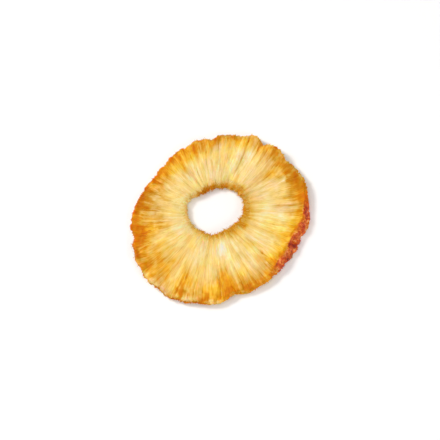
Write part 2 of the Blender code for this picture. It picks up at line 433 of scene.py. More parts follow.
# Light from all round, and the lamps: name, place, width and power. All lamps are a little warm.
SURROUNDING_LIGHT = 0.14
LAMPS = (
    ("key_light", (-0.45, 0.25, 0.60), 0.30, 3.65),
    ("top_light", (0.10, -0.20, 0.90), 0.80, 3.05),
    ("side_light", (0.42, -0.40, 0.38), 0.12, 0.9),
)
LAMP_COLOUR = (1.045, 1.0, 0.97)

# The picture: the way the camera looks at the ring, and how far from it.
CAMERA_AROUND = math.radians(30)
CAMERA_ABOVE = math.radians(62)
CAMERA_DISTANCE = 526.8 * MM
CAMERA_LENS_MM = 100
CAMERA_SENSOR_MM = 36
CAMERA_AIM = Vector((1.335 * MM, -1.578 * MM, 3.5 * MM))


def smooth_step(x):
    """Rises from 0 at 0 to 1 at 1 with no corner, and stays level outside."""
    x = np.clip(x, 0.0, 1.0)
    return x * x * (3.0 - 2.0 * x)


def rises(x, first, last):
    """Rises from 0 where x is first to 1 where x is last, and stays level outside."""
    return smooth_step((x - first) / (last - first))


def uneven(turn, share, around, along, seed):
    """An uneven height from -1 to 1, with `around` cells round the ring and `along` cells outwards."""
    draw = random.Random(seed)
    heights = np.array([[draw.uniform(-1, 1) for _ in range(around)] for _ in range(along + 1)])
    across = np.mod(turn / TAU, 1.0) * around
    outwards = np.clip(share, 0.0, 1.0) * along
    left = np.minimum(across.astype(int), around - 1)
    right = (left + 1) % around
    inner = np.minimum(outwards.astype(int), along - 1)
    blend = smooth_step(across - left)
    inner_height = heights[inner, left] * (1 - blend) + heights[inner, right] * blend
    outer_height = heights[inner + 1, left] * (1 - blend) + heights[inner + 1, right] * blend
    blend_out = smooth_step(outwards - inner)
    return inner_height * (1 - blend_out) + outer_height * blend_out


def streaks(turn, share, around, along, seed):
    """Like uneven, but its cells end at different places, so that no ring-shaped bands show."""
    shift = uneven(turn, 0 * turn, max(around // 2, 3), 1, seed + 500)
    return uneven(turn, 0.08 + 0.84 * share + 0.45 * shift / along, around, along, seed)


def bump(turn, direction, half_width, power=2):
    """1 in that direction, fading to 0 on both sides of it, flatter on top with a higher power."""
    away = np.mod(turn - direction + math.pi, TAU) - math.pi
    return np.exp(-(np.abs(away / half_width) ** power))


def edge_radius(turn, length, width, lean, bumps):
    """Distance from an oval's centre to its edge in direction turn, with the edge's own bumps."""
    a, b = length / 2, width / 2
    radius = a * b / np.hypot(b * np.cos(turn - lean), a * np.sin(turn - lean))
    for degrees, reach, half_width in bumps:
        radius = radius + reach * bump(turn, math.radians(degrees), math.radians(half_width))
    return radius


def rim_radius(turn):
    """The ring's outline, from the ring's centre, with a ragged edge."""
    rags = uneven(turn, 0 * turn, RAGS_ROUND, 1, seed=3)
    return edge_radius(turn, RING_LENGTH, RING_WIDTH, RING_LEAN, RIM_BUMPS) + RAG_LENGTH * rags


def hole_radius(turn):
    """The core hole's edge, from the hole's centre, with torn fibre ends."""
    teeth = uneven(turn, 0 * turn, TEETH_ROUND, 1, seed=5)
    waves = uneven(turn, 0 * turn, TEETH_ROUND // 6, 1, seed=6)
    edge = edge_radius(turn, HOLE_LENGTH, HOLE_WIDTH, HOLE_LEAN, HOLE_BUMPS)
    return edge + TOOTH_LENGTH * (teeth + waves)


def thick_rim(turn):
    """1 where the rim is thick and its cut side leans outwards, 0 on the rest."""
    return bump(turn, THICK_RIM_DIRECTION, THICK_RIM_REACH, power=4)


def lip_drop(turn, share):
    """How far the upper face curls down into the hole on its far side."""
    curled = bump(turn, HOLE_LIP_DIRECTION, HOLE_LIP_REACH)
    return HOLE_LIP_DROP * curled * (1 - rises(share, 0, LIP_ENDS))


def half_thickness(turn, share):
    """Half the slice's thickness at that place."""
    at_rim = THICKNESS_AT_RIM + THICK_RIM_EXTRA * thick_rim(turn)
    gain = (THICKNESS_BETWEEN - THICKNESS_AT_HOLE) * rises(share, 0, FULL_THICKNESS_FROM)
    inner = THICKNESS_AT_HOLE + gain
    outwards = rises(share, THINNING_FROM, 1)
    return 0.5 * (inner * (1 - outwards) + at_rim * outwards - lip_drop(turn, share))


def folds(turn, share):
    """Height of the long folds and creases that run from the hole towards the rim."""
    height = 0 * turn
    for degrees, rise, half_width, first, last in FOLDS:
        middle, reach = (first + last) / 2, (last - first) / 2
        along = np.clip(1 - ((np.clip(share, 0, 1) - middle) / (reach + 0.15)) ** 2, 0, 1)
        height = height + rise * along * bump(turn, math.radians(degrees), math.radians(half_width))
    return height


def middle_height(turn, share):
    """Height above the table of the slice's middle, warped by drying."""
    pleats = uneven(turn, 0 * turn, PLEATS_ROUND, 1, seed=11)
    return (
        MIDDLE_HEIGHT
        + SADDLE * np.cos(2 * (turn - SADDLE_DIRECTION)) * share**2
        + RIM_LIFT * share**3
        + PLEAT_HEIGHT * pleats * share**2
        + folds(turn, share)
        - 0.5 * lip_drop(turn, share)
    )


def bundle_relief(turn, share, level):
    """How far the fibre bundles stand out of the upper face or the underside."""
    upper = uneven(turn, share, BUNDLES_ROUND, 4, seed=21)
    under = uneven(turn, share, BUNDLES_ROUND, 4, seed=22)
    fade = rises(share, -0.05, 0.10)
    return BUNDLE_HEIGHT * fade * np.where(level > 0, upper, under)


def plan_place(turn, share, level):
    """Where a point of the blank lands on the table when it is looked at from straight above."""
    height = (level + 1) / 2
    lean_in = RIM_FLARE * thick_rim(turn) * rises(share, FLARE_FROM, 1) * height
    on_rim = rises(share, 1 - RIM_ROUNDING, 1)
    on_hole = 1 - rises(share, 0, 2 * HOLE_ROUNDING)
    crinkle = WALL_CRINKLE_DEPTH * on_rim * uneven(turn, height, WALL_CRINKLES_ROUND, 3, seed=31)
    spikes = 1 - np.abs(streaks(turn, height, NICKS_ROUND, 5, seed=32)) / 0.45
    nicks = NICK_DEPTH * rises(share, NICKS_FROM, 1) * (np.clip(spikes, 0, 1) - 0.4)
    lumps = WALL_LUMP_DEPTH * streaks(turn, height, WALL_LUMPS_ROUND, 5, seed=34)
    lumps = lumps * thick_rim(turn) * on_rim
    frays = FRAY_LENGTH * on_hole * streaks(turn, height, FRAYS_ROUND, 4, seed=33)
    inner = hole_radius(turn) + frays
    outer = rim_radius(turn) - lean_in + crinkle + nicks + lumps
    inner_x = HOLE_OFFSET_X + inner * np.cos(turn)
    inner_y = HOLE_OFFSET_Y + inner * np.sin(turn)
    x = inner_x + (outer * np.cos(turn) - inner_x) * share
    y = inner_y + (outer * np.sin(turn) - inner_y) * share
    return x, y


def from_middle(x, y):
    """The direction of a point as it is seen from the hole's middle."""
    return np.arctan2(y - HOLE_OFFSET_Y, x - HOLE_OFFSET_X)


def by_direction(turn, directions, values):
    """A value that changes smoothly round the ring, given at some directions in degrees."""
    return np.interp(np.degrees(np.mod(turn, TAU)), directions, values)


def fibre_turn(x, y, share):
    """The direction in which a point's fibre leaves the hole's middle, before it leans and wanders."""
    straight = from_middle(x, y)
    along = np.clip(share, 0, 1)
    lean = np.radians(by_direction(straight, AROUND, FIBRE_LEANS)) * along
    bend = BEND * uneven(straight, 0 * x, 16, 1, seed=41) * along**1.5
    wander = WANDER * streaks(straight, share, 44, 4, seed=42)
    return straight - lean + bend + wander


def grooves(turn, share, around, along, seed):
    """1 along narrow lines that follow the fibres, branching and fading out, and 0 between them."""
    lines = np.clip(1 - np.abs(streaks(turn, share, around, along, seed)) / 0.22, 0, 1)
    return lines * smooth_step(0.6 + 0.8 * streaks(turn, share, around // 3, along, seed + 7))


def creases(turn, share):
    """Depth of the long narrow creases in the upper face."""
    depth = 0 * turn
    for degrees, first, last, deep, half_width in CREASES:
        along = (share - first) / (last - first)
        ends = rises(along, 0, 0.3) * (1 - rises(along, 0.8, 1.05))
        across = bump(turn, math.radians(degrees), math.radians(half_width), power=1.3)
        depth = depth + deep * ends * across
    return depth


def puckers(x, y, size, seed):
    """Rounded lumps and dents of about that size, from -1 to 1, the same in every direction."""
    draw = random.Random(seed)
    height = 0 * x
    for _ in range(14):
        way = draw.uniform(0, TAU)
        wave = TAU / (size * draw.uniform(0.8, 2.2))
        height = height + np.sin(wave * (x * math.cos(way) + y * math.sin(way)) + draw.uniform(0, TAU))
    return np.tanh(height / 3.2)


def fine_relief(turn, share, level, x, y):
    """Height of everything finer than the bundles, on the upper face or the underside."""
    along_fibre = fibre_turn(x, y, share)
    side = np.where(level > 0, 0, 1)
    height = 0 * turn
    for face, strength in ((0, 1.0), (1, 0.7)):
        ribs = RIB_HEIGHT * streaks(along_fibre, share, RIBS_ROUND, 9, seed=51 + face)
        lines = GROOVE_DEPTH * grooves(along_fibre, share, GROOVES_ROUND, 8, seed=61 + face)
        fibres = FIBRE_HEIGHT * streaks(along_fibre, share, FIBRES_ROUND, 20, seed=71 + face)
        height = np.where(side == face, strength * (ribs - lines + fibres), height)
    near_rim = rises(share, 0.6, 0.95)
    lumps = PUCKER_HEIGHT * (0.15 + 0.85 * near_rim) * puckers(x, y, PUCKER_SIZE, seed=81)
    cut = np.where(level > 0, creases(along_fibre, share), 0)
    return height + lumps - cut


def dried_shape(turn, share, level):
    """Where drying has taken each point of the blank, as an array of x, y and z."""
    x, y = plan_place(turn, share, level)
    relief = bundle_relief(turn, share, level) + fine_relief(turn, share, level, x, y)
    waves = RIM_WAVE_HEIGHT * streaks(turn, share, RIM_WAVES_ROUND, 6, seed=35)
    waves = waves * rises(share, WAVES_FROM, 1)
    z = middle_height(turn, share) + waves + level * (half_thickness(turn, share) + relief)
    return np.column_stack([x, y, z])


def section_points():
    """The blank's section as (share, level) pairs: two flat faces and two rounded ends."""
    first, last = HOLE_ROUNDING, 1 - RIM_ROUNDING
    reach = last - first
    upper = [(first + reach * i / STEPS_UPPER_FACE, 1.0) for i in range(STEPS_UPPER_FACE + 1)]
    under = [(last - reach * i / STEPS_UNDERSIDE, -1.0) for i in range(STEPS_UNDERSIDE + 1)]
    rim_angles = [math.pi * (0.5 - i / STEPS_RIM_WALL) for i in range(1, STEPS_RIM_WALL)]
    hole_angles = [math.pi * (1.5 - i / STEPS_HOLE_WALL) for i in range(1, STEPS_HOLE_WALL)]
    rim_wall = [(last + RIM_ROUNDING * math.cos(a), math.sin(a)) for a in rim_angles]
    hole_wall = [(first + HOLE_ROUNDING * math.cos(a), math.sin(a)) for a in hole_angles]
    return upper + rim_wall + under + hole_wall


def turned_blank(name):
    """The plain ring before drying, as a mesh whose radius is 1 at the hole and 2 at the rim."""
    blank = bmesh.new()
    corners = [blank.verts.new((1 + share, 0, level)) for share, level in section_points()]
    sides = [blank.edges.new(pair) for pair in zip(corners, corners[1:] + corners[:1])]
    bmesh.ops.spin(
        blank,
        geom=corners + sides,
        cent=(0, 0, 0),
        axis=(0, 0, 1),
        angle=TAU,
        steps=STEPS_ROUND,
        use_merge=True,
    )
    round_sides = [e for e in blank.edges if abs(e.verts[0].co.cross(e.verts[1].co).z) > 1e-4]
    bmesh.ops.subdivide_edges(blank, edges=round_sides, cuts=CUTS_IN_STEP)
    bmesh.ops.recalc_face_normals(blank, faces=blank.faces)
    mesh = bpy.data.meshes.new(name)
    blank.to_mesh(mesh)
    blank.free()
    return mesh


def browning_and_painted_light(turn, share, level, x, y):
    """How brown the flesh is at each point, from 0 for cream to 1 for dark caramel, with painted shade
    and painted highlights in some blotches.
    """
    fibre = fibre_turn(x, y, share)
    straight = from_middle(x, y)

    # Amber that grows towards the rim and begins further in on some fibres than on others.
    starts = by_direction(straight, AROUND, AMBER_STARTS)
    starts = starts + 0.10 * streaks(fibre, share, 40, 2, seed=91)
    starts = starts + 0.06 * streaks(fibre, share, 90, 2, seed=97)
    at_rim = by_direction(straight, AROUND, RIM_BROWNING)
    tone = CREAM_TONE + (at_rim - CREAM_TONE) * rises(share, starts, 0.98)

    # Browner and paler fibres, pale and dark lines between them, and soft mottling.
    outer = rises(share, starts - 0.05, starts + 0.35)
    from_hole = 0.4 + 0.6 * rises(share, 0.05, 0.30)
    for around, outwards, in_cream, more_in_amber, seed in BROWN_STREAKS:
        strength = (in_cream + more_in_amber * outer) * from_hole
        tone = tone + strength * streaks(fibre, share, around, outwards, seed)
    tone = tone + (0.02 + 0.09 * outer) * np.tanh(2.6 * streaks(fibre, share, 66, 4, seed=99))
    tone = tone - 0.18 * outer * grooves(fibre, share, 170, 4, seed=89)
    tone = tone + 0.13 * rises(share, 0.15, 0.55) * grooves(fibre, share, 150, 5, seed=84)
    tone = tone + 0.05 * puckers(x, y, 5.0 * MM, seed=94)
    tone = tone + 0.09 * (1 - rises(share, 0, 0.18)) * puckers(x, y, 1.4 * MM, seed=90)

    # Single blotches with ragged edges; some of them are painted shade and painted highlights.
    ragged_turn = straight + math.radians(2.0) * puckers(x, y, 3.0 * MM, seed=95)
    ragged_share = share + 0.04 * puckers(x, y, 2.6 * MM, seed=96)
    for degrees, place, half_width, half_length, strength in BLOTCHES_AND_PAINTED_LIGHT:
        across = bump(ragged_turn, math.radians(degrees), math.radians(half_width))
        along = np.exp(-(((ragged_share - place) / half_length) ** 2))
        tone = tone + strength * across * along

    # The torn edge of the hole, and the two stretches of rim with an edge of their own.
    lip = by_direction(turn, AROUND, LIP_BROWNING)
    uneven_reach = 1 + 0.25 * streaks(fibre, 0 * share, 150, 1, seed=98)
    reach = by_direction(turn, AROUND, LIP_REACHES) * uneven_reach
    tone = tone + lip * (1 - rises(share, -0.02, reach - 0.02))
    pale_edge = rises(ragged_share, 0.92, 0.97)
    pale_edge = pale_edge * bump(turn, PALE_RIM_DIRECTION, PALE_RIM_REACH, power=4)
    dark_edge = rises(share, 0.965, 0.995) * (1 - rises(level, -0.3, 0.9))
    dark_edge = dark_edge * bump(turn, DARK_RIM_DIRECTION, DARK_RIM_REACH, power=4)
    tone = tone - 0.13 * pale_edge + 0.64 * dark_edge
    return np.clip(tone - 0.5 * np.maximum(tone - 0.80, 0), 0, 1)


def golden_and_painted_light(turn, share, x, y):
    """How golden the flesh is at each point: 0 where it is creamy, 0.5 as it mostly is, 1 at most, with
    some painted highlight and shade.
    """
    fibre = fibre_turn(x, y, share)
    straight = from_middle(x, y)
    pale_edge = rises(share, 0.92, 0.97) * bump(turn, PALE_RIM_DIRECTION, PALE_RIM_REACH, power=4)
    value = 0.18 * puckers(x, y, 6.0 * MM, seed=87) - 0.25 * pale_edge
    value = value + 0.32 * uneven(fibre, share, 20, 3, seed=86)
    for around, outwards, strength, seed in GOLDEN_STREAKS:
        value = value + strength * streaks(fibre, share, around, outwards, seed)
    for degrees, place, half_width, half_length, strength in GOLDEN_PARTS_AND_PAINTED_LIGHT:
        across = bump(straight, math.radians(degrees), math.radians(half_width))
        along = np.exp(-(((share - place) / half_length) ** 2))
        value = value + 0.5 * strength * across * along
    return 0.5 + value * (0.62 + 0.55 * rises(share, 0.4, 0.75))


def cut_side(turn, share):
    """1 on the glossy cut side where the rim is thick, fading out along the rest of the rim."""
    ragged = share + 0.5 * RIM_ROUNDING * streaks(turn, share, 140, 9, seed=36)
    on_wall = rises(ragged, 1 - 1.6 * RIM_ROUNDING, 1 - 0.3 * RIM_ROUNDING)
    return on_wall * smooth_step(1.4 * thick_rim(turn))


def set_attribute(mesh, name, kind, values):
    """Stores one value or vector for each point of the mesh."""
    attribute = mesh.attributes.new(name, kind, "POINT")
    field = "value" if kind == "FLOAT" else "vector"
    attribute.data.foreach_set(field, np.ascontiguousarray(values, np.float32).ravel())


def make_ring():
    """The ring itself with the attributes that its finish reads, and the middle of its outline."""
    mesh = turned_blank("ring_flesh")
    points = np.empty(len(mesh.vertices) * 3)
    mesh.vertices.foreach_get("co", points)
    points = points.reshape(-1, 3)
    turn = np.arctan2(points[:, 1], points[:, 0])
    share = np.hypot(points[:, 0], points[:, 1]) - 1
    level = points[:, 2]
    x, y = plan_place(turn, share, level)
    fibre = fibre_turn(x, y, share)
    # Painted shade: the flesh is darkened along the same fibre grooves as the relief, and in the
    # creases.
    lines = grooves(fibre, share, GROOVES_ROUND, 8, seed=61)
    lines = 0.8 * lines * rises(share, 0, 0.3) + creases(fibre, share) / CREASE_SHADE_DEPTH
    along = 0.06 * (share + 2 * (1 - level))
    fibre_space = np.column_stack([np.cos(fibre), np.sin(fibre), along])

    placed = dried_shape(turn, share, level)
    middle = (placed[:, :2].max(axis=0) + placed[:, :2].min(axis=0)) / 2
    low, high = (np.array(corner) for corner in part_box("pineapple_ring"))
    placed = np.clip(placed - (*middle, 0.0), low, high)
    mesh.vertices.foreach_set("co", placed.ravel())
    mesh.update()
    set_attribute(mesh, "browning_and_painted_light", "FLOAT", browning_and_painted_light(turn, share, level, x, y))
    # The painted shade of the grooves and creases, half as strong on the underside.
    set_attribute(mesh, "grooves", "FLOAT", np.where(level > 0, lines, 0.5 * lines))
    set_attribute(mesh, "golden_and_painted_light", "FLOAT", golden_and_painted_light(turn, share, x, y))
    set_attribute(mesh, "lip", "FLOAT", 1 - rises(share, 0.04, 0.28))
    set_attribute(mesh, "cut_side", "FLOAT", cut_side(turn, share))
    set_attribute(mesh, "fibre_space", "FLOAT_VECTOR", fibre_space)
    mesh.shade_smooth()
    mesh.materials.append(flesh_material())
    ring = bpy.data.objects.new("ring_flesh", mesh)
    bpy.context.scene.collection.objects.link(ring)
    return ring, middle


class Shader:
    """One material, with short ways to add nodes to it and to link them."""

    def __init__(self, name):
        self.material = bpy.data.materials.new(name)
        self.material.use_nodes = True
        self.tree = self.material.node_tree
        self.surface = self.tree.nodes["Principled BSDF"]

    def add(self, kind, **settings):
        node = self.tree.nodes.new(kind)
        for name, value in settings.items():
            setattr(node, name, value)
        return node

    def feed(self, socket, source):
        """Links the source to the socket, or sets the socket where the source is a plain value."""
        if isinstance(source, bpy.types.NodeSocket):
            self.tree.links.new(source, socket)
        else:
            socket.default_value = source

    def attribute(self, name, output="Fac"):
        return self.add("ShaderNodeAttribute", attribute_name=name).outputs[output]

    def maths(self, operation, first, second=0.0):
        node = self.add("ShaderNodeMath", operation=operation)
        self.feed(node.inputs[0], first)
        self.feed(node.inputs[1], second)
        return node.outputs[0]

    def noise(self, vector, scale, detail=2.0, roughness=0.5):
        node = self.add("ShaderNodeTexNoise")
        self.feed(node.inputs["Vector"], vector)
        self.feed(node.inputs["Scale"], scale)
        self.feed(node.inputs["Detail"], detail)
        self.feed(node.inputs["Roughness"], roughness)
        return node.outputs["Fac"]

    def span(self, value, low, high, to_low=0.0, to_high=1.0):
        """Takes low to to_low and high to to_high, and stays level outside."""
        node = self.add("ShaderNodeMapRange")
        for socket, source in zip(node.inputs, (value, low, high, to_low, to_high)):
            self.feed(socket, source)
        return node.outputs[0]

    def ramp(self, value, stops):
        """The colour at that value, between stops that are places and screen colours."""
        node = self.add("ShaderNodeValToRGB")
        while len(node.color_ramp.elements) < len(stops):
            node.color_ramp.elements.new(0.5)
        for element, (place, colour) in zip(node.color_ramp.elements, stops):
            element.position = place
            element.color = (*light_of(colour), 1.0)
        self.feed(node.inputs[0], value)
        return node.outputs[0]

    def blend(self, share, first, second, kind="MIX"):
        """The first colour, mixed with that share of the second."""
        node = self.add("ShaderNodeMix", data_type="RGBA", blend_type=kind)
        self.feed(node.inputs["Factor"], share)
        self.feed(node.inputs[6], first)
        self.feed(node.inputs[7], second)
        return node.outputs[2]

    def dent(self, height, distance, strength=1.0):
        """Shading as if the surface rose with the height, by the distance where it is 1."""
        node = self.add("ShaderNodeBump")
        self.feed(node.inputs["Height"], height)
        self.feed(node.inputs["Distance"], distance)
        self.feed(node.inputs["Strength"], strength)
        return node.outputs["Normal"]


def light_of(colour):
    """A screen colour, 0 to 255, as the light that a shader works in."""
    return [((c / 255 + 0.055) / 1.055) ** 2.4 if c > 10 else c / 255 / 12.92 for c in colour]


# Screen colours of the flesh by how brown it is, and of the cut side by how crumpled it is.
# The same crumple raises the cut side's bumps, so its dark low stops are partly painted shade in its
# dents and its palest stop is a painted highlight on its bumps.
FLESH_STOPS = (
    (0.00, (255, 243, 200)),
    (0.10, (254, 229, 162)),
    (0.25, (246, 216, 139)),
    (0.38, (236, 203, 115)),
    (0.50, (230, 188, 88)),
    (0.60, (223, 173, 64)),
    (0.68, (217, 158, 36)),
    (0.76, (211, 143, 14)),
    (0.84, (208, 131, 0)),
    (0.90, (205, 121, 0)),
    (1.00, (197, 104, 0)),
)
WALL_STOPS_WITH_PAINTED_LIGHT = (
    (0.32, (132, 26, 2)),
    (0.43, (182, 54, 6)),
    (0.52, (212, 92, 14)),
    (0.60, (234, 140, 52)),
    (0.68, (252, 200, 140)),
)


# Tints of creamy and of golden flesh, which its colours are multiplied by.
CREAMY_TINT = (0.955, 1.0, 1.60, 1.0)
GOLDEN_TINT = (1.10, 0.98, 0.34, 1.0)

# Fibres in the finish: how fine each kind is, and how much browner or paler it makes the flesh.
BUNDLE_FINENESS = 26.0
BUNDLE_TONE = 0.11
THREAD_FINENESS = 95.0
THREAD_TONE = 0.13
HAIR_FINENESS = 260.0
HAIR_TONE = 0.05
SPECK_FINENESS = 900.0
SPECK_TONE = 0.02
# How much browner the painted shade in the grooves and creases makes the flesh.
GROOVE_SHADE_TONE = 0.13

# How fine the patches of tint are and how much they change it, and how fine the cut side crumples.
TINT_FINENESS = 50.0
TINT_CHANGE = 0.18
CRUMPLE_FINENESS = 450.0

# The noise stays mostly between these two values.
NOISE_LOW = 0.3
NOISE_HIGH = 0.7

# How deep the finest relief is, and how far red, green and blue light spreads inside the flesh.
FINEST_RELIEF = 0.25 * MM
LIGHT_SPREAD = (1.2, 0.3, 0.08)
LIGHT_SPREAD_SCALE = 1.4 * MM


def flesh_tone(shader, bundles, threads, hairs, place):
    """How brown the flesh is with its fibres, specks, and painted shade in its grooves and creases."""
    streak = shader.span(bundles, NOISE_LOW, NOISE_HIGH, -BUNDLE_TONE, BUNDLE_TONE)
    thread = shader.span(threads, NOISE_LOW, NOISE_HIGH, -THREAD_TONE, THREAD_TONE)
    hair = shader.span(hairs, NOISE_LOW, NOISE_HIGH, -HAIR_TONE, HAIR_TONE)
    streak = shader.maths("ADD", shader.maths("ADD", streak, thread), hair)
    contrast = shader.span(shader.attribute("lip"), 0.0, 1.0, 1.0, 0.45)
    tone = shader.maths("ADD", shader.attribute("browning_and_painted_light"), shader.maths("MULTIPLY", streak, contrast))
    specks = shader.noise(place, SPECK_FINENESS)
    tone = shader.maths("ADD", tone, shader.span(specks, NOISE_LOW, NOISE_HIGH, -SPECK_TONE, SPECK_TONE))
    # Painted shade in the grooves and creases.
    return shader.maths("ADD", tone, shader.maths("MULTIPLY", shader.attribute("grooves"), GROOVE_SHADE_TONE))


def flesh_tint(shader, space, tone):
    """The creamy or golden tint, which changes less in pale flesh and more in amber flesh."""
    patches = shader.noise(space, TINT_FINENESS, 3.0, 0.6)
    gold = shader.span(patches, NOISE_LOW, NOISE_HIGH, -TINT_CHANGE, TINT_CHANGE)
    gold = shader.maths("ADD", shader.attribute("golden_and_painted_light"), gold)
    strength = shader.span(tone, 0.25, 0.75, 0.66, 1.45)
    gold = shader.maths("MULTIPLY", shader.maths("SUBTRACT", gold, 0.5), strength)
    return shader.blend(shader.maths("ADD", gold, 0.5), CREAMY_TINT, GOLDEN_TINT)


def flesh_material():
    """Dried flesh: cream to amber along its fibres, with painted shade in the grooves, red brown on the
    cut side with painted shade and highlights.
    """
    shader = Shader("dried_flesh")
    space = shader.attribute("fibre_space", "Vector")
    place = shader.add("ShaderNodeTexCoord").outputs["Object"]
    bundles = shader.noise(space, BUNDLE_FINENESS)
    threads = shader.noise(space, THREAD_FINENESS, roughness=0.6)
    hairs = shader.noise(space, HAIR_FINENESS, roughness=0.6)
    crumple = shader.noise(place, CRUMPLE_FINENESS, 4.0, 0.62)
    side = shader.attribute("cut_side")

    tone = flesh_tone(shader, bundles, threads, hairs, place)
    flesh = shader.ramp(tone, FLESH_STOPS)
    flesh = shader.blend(1.0, flesh, flesh_tint(shader, space, tone), "MULTIPLY")
    # The cut side's red brown, with painted shade in its dents and painted highlights on its bumps.
    wall = shader.ramp(crumple, WALL_STOPS_WITH_PAINTED_LIGHT)
    shader.feed(shader.surface.inputs["Base Color"], shader.blend(side, flesh, wall))

    roughness = shader.span(shader.attribute("browning_and_painted_light"), 0.3, 0.7, 0.48, 0.36)
    roughness = shader.maths("SUBTRACT", roughness, shader.maths("MULTIPLY", side, 0.14))
    shader.feed(shader.surface.inputs["Roughness"], roughness)
    height = shader.maths("ADD", shader.maths("MULTIPLY", hairs, 0.7), threads)
    crumples = shader.maths("MULTIPLY", crumple, shader.span(side, 0.0, 1.0, 0.2, 0.8))
    height = shader.maths("ADD", height, crumples)
    shader.feed(shader.surface.inputs["Normal"], shader.dent(height, FINEST_RELIEF, 0.6))
    shader.feed(shader.surface.inputs["Coat Weight"], shader.maths("MULTIPLY", side, 0.40))
    shader.surface.inputs["Coat Roughness"].default_value = 0.18
    shader.surface.inputs["Specular IOR Level"].default_value = 0.06
    shader.surface.inputs["Subsurface Weight"].default_value = 1.0
    shader.surface.inputs["Subsurface Radius"].default_value = LIGHT_SPREAD
    shader.surface.inputs["Subsurface Scale"].default_value = LIGHT_SPREAD_SCALE
    return shader.material


def fibre_material():
    """Thin dry fibres, coloured like the flesh that they come from."""
    shader = Shader("loose_fibres")
    tone = shader.attribute("browning_and_painted_light")
    shader.feed(shader.surface.inputs["Base Color"], shader.ramp(tone, FLESH_STOPS))
    shader.surface.inputs["Roughness"].default_value = 0.5
    shader.surface.inputs["Specular IOR Level"].default_value = 0.1
    return shader.material


def plain_fibre():
    """One tapered fibre of length 1 along X, four-sided, in three lengths, closed at both ends."""
    fibre = bmesh.new()
    lying = Matrix.Translation((0.5, 0, 0)) @ Matrix.Rotation(math.pi / 2, 4, "Y")
    bmesh.ops.create_cone(
        fibre, cap_ends=True, segments=4, radius1=0.5, radius2=0.12, depth=1.0, matrix=lying
    )
    for cut in (0.35, 0.7):
        everything = fibre.verts[:] + fibre.edges[:] + fibre.faces[:]
        bmesh.ops.bisect_plane(fibre, geom=everything, plane_co=(cut, 0, 0), plane_no=(1, 0, 0))
    bmesh.ops.recalc_face_normals(fibre, faces=fibre.faces)
    mesh = bpy.data.meshes.new("fibre")
    fibre.to_mesh(mesh)
    fibre.free()
    return mesh


def joined_fibres(name, roots, middles, tips, thick, tones, middle, material):
    """Many loose fibres in one mesh, each bent from its root past its middle to its tip."""
    pattern = plain_fibre()
    joined = bmesh.new()
    for _ in roots:
        joined.from_mesh(pattern)
    mesh = bpy.data.meshes.new(name)
    joined.to_mesh(mesh)
    joined.free()
    points = np.empty(len(mesh.vertices) * 3)
    mesh.vertices.foreach_get("co", points)
    points = points.reshape(len(roots), -1, 3)
    along = points[:, :, :1]
    course = roots[:, None] * (1 - along) ** 2 + tips[:, None] * along**2
    course = course + 2 * middles[:, None] * along * (1 - along)
    way = (tips - roots) / np.linalg.norm(tips - roots, axis=1, keepdims=True)
    side = np.cross(way, (0, 0, 1.0))
    side = side / np.maximum(np.linalg.norm(side, axis=1, keepdims=True), 1e-6)
    lift = np.cross(side, way)
    girth = points[:, :, 1:2] * side[:, None] + points[:, :, 2:3] * lift[:, None]
    placed = (course + thick[:, None, None] * girth).reshape(-1, 3) - (*middle, 0.0)
    low, high = (np.array(corner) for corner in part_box("pineapple_ring"))
    mesh.vertices.foreach_set("co", np.clip(placed, low, high).ravel())
    mesh.update()
    root_tones, tip_tones = tones[:, :1], tones[:, 1:]
    set_attribute(mesh, "browning_and_painted_light", "FLOAT", root_tones + (tip_tones - root_tones) * along[:, :, 0])
    mesh.shade_smooth()
    mesh.materials.append(material)
    bpy.data.meshes.remove(pattern)
    piece = bpy.data.objects.new(name, mesh)
    bpy.context.scene.collection.objects.link(piece)
    return piece


def on_surface(way, share, level):
    """Points of the dried ring in those directions from the hole's middle, and how brown they are."""
    turn = way.copy()
    for _ in range(4):
        x, y = plan_place(turn, share, level)
        turn = turn + np.mod(way - from_middle(x, y) + math.pi, TAU) - math.pi
    place = dried_shape(turn, share, level)
    return place, browning_and_painted_light(turn, share, level, place[:, 0], place[:, 1])


def torn_fibres(name, count, length, shares, levels, outwards, middle, material, seed):
    """Short torn fibre ends that stick out of the hole's edge, its lip or the rim."""
    draw = np.random.default_rng(seed)
    way = (np.arange(count) + draw.uniform(-0.8, 0.8, count)) * TAU / count
    if outwards:
        way = way[thick_rim(way) < 0.3]
        count = len(way)
    share = draw.uniform(*shares, count)
    root, tone = on_surface(way, share, draw.uniform(*levels, count))
    root[:, 2] = np.maximum(root[:, 2], LOWEST_ROOT)
    reach = length * draw.uniform(0.3, 1.0, count)
    leaning = way + draw.normal(0, 0.4, count) + (0 if outwards else math.pi)
    flat = np.column_stack([np.cos(leaning), np.sin(leaning), 0 * way])
    up = np.array((0, 0, 1))
    half = root + 0.5 * reach[:, None] * flat + draw.normal(0.12, 0.15, (count, 1)) * reach[:, None] * up
    tips = root + reach[:, None] * flat + draw.normal(-0.05, 0.25, (count, 1)) * reach[:, None] * up
    tips[:, 2] = np.maximum(tips[:, 2], LOWEST_TIP)
    thick = FIBRE_THICKNESS * draw.uniform(0.8, 2.0, count)
    tone = np.clip(tone + draw.normal(-0.06, 0.08, count), 0.05, 0.85)
    tones = np.column_stack([tone, tone - draw.uniform(0.05, 0.25, count)])
    return joined_fibres(name, root, half, tips, thick, tones, middle, material)


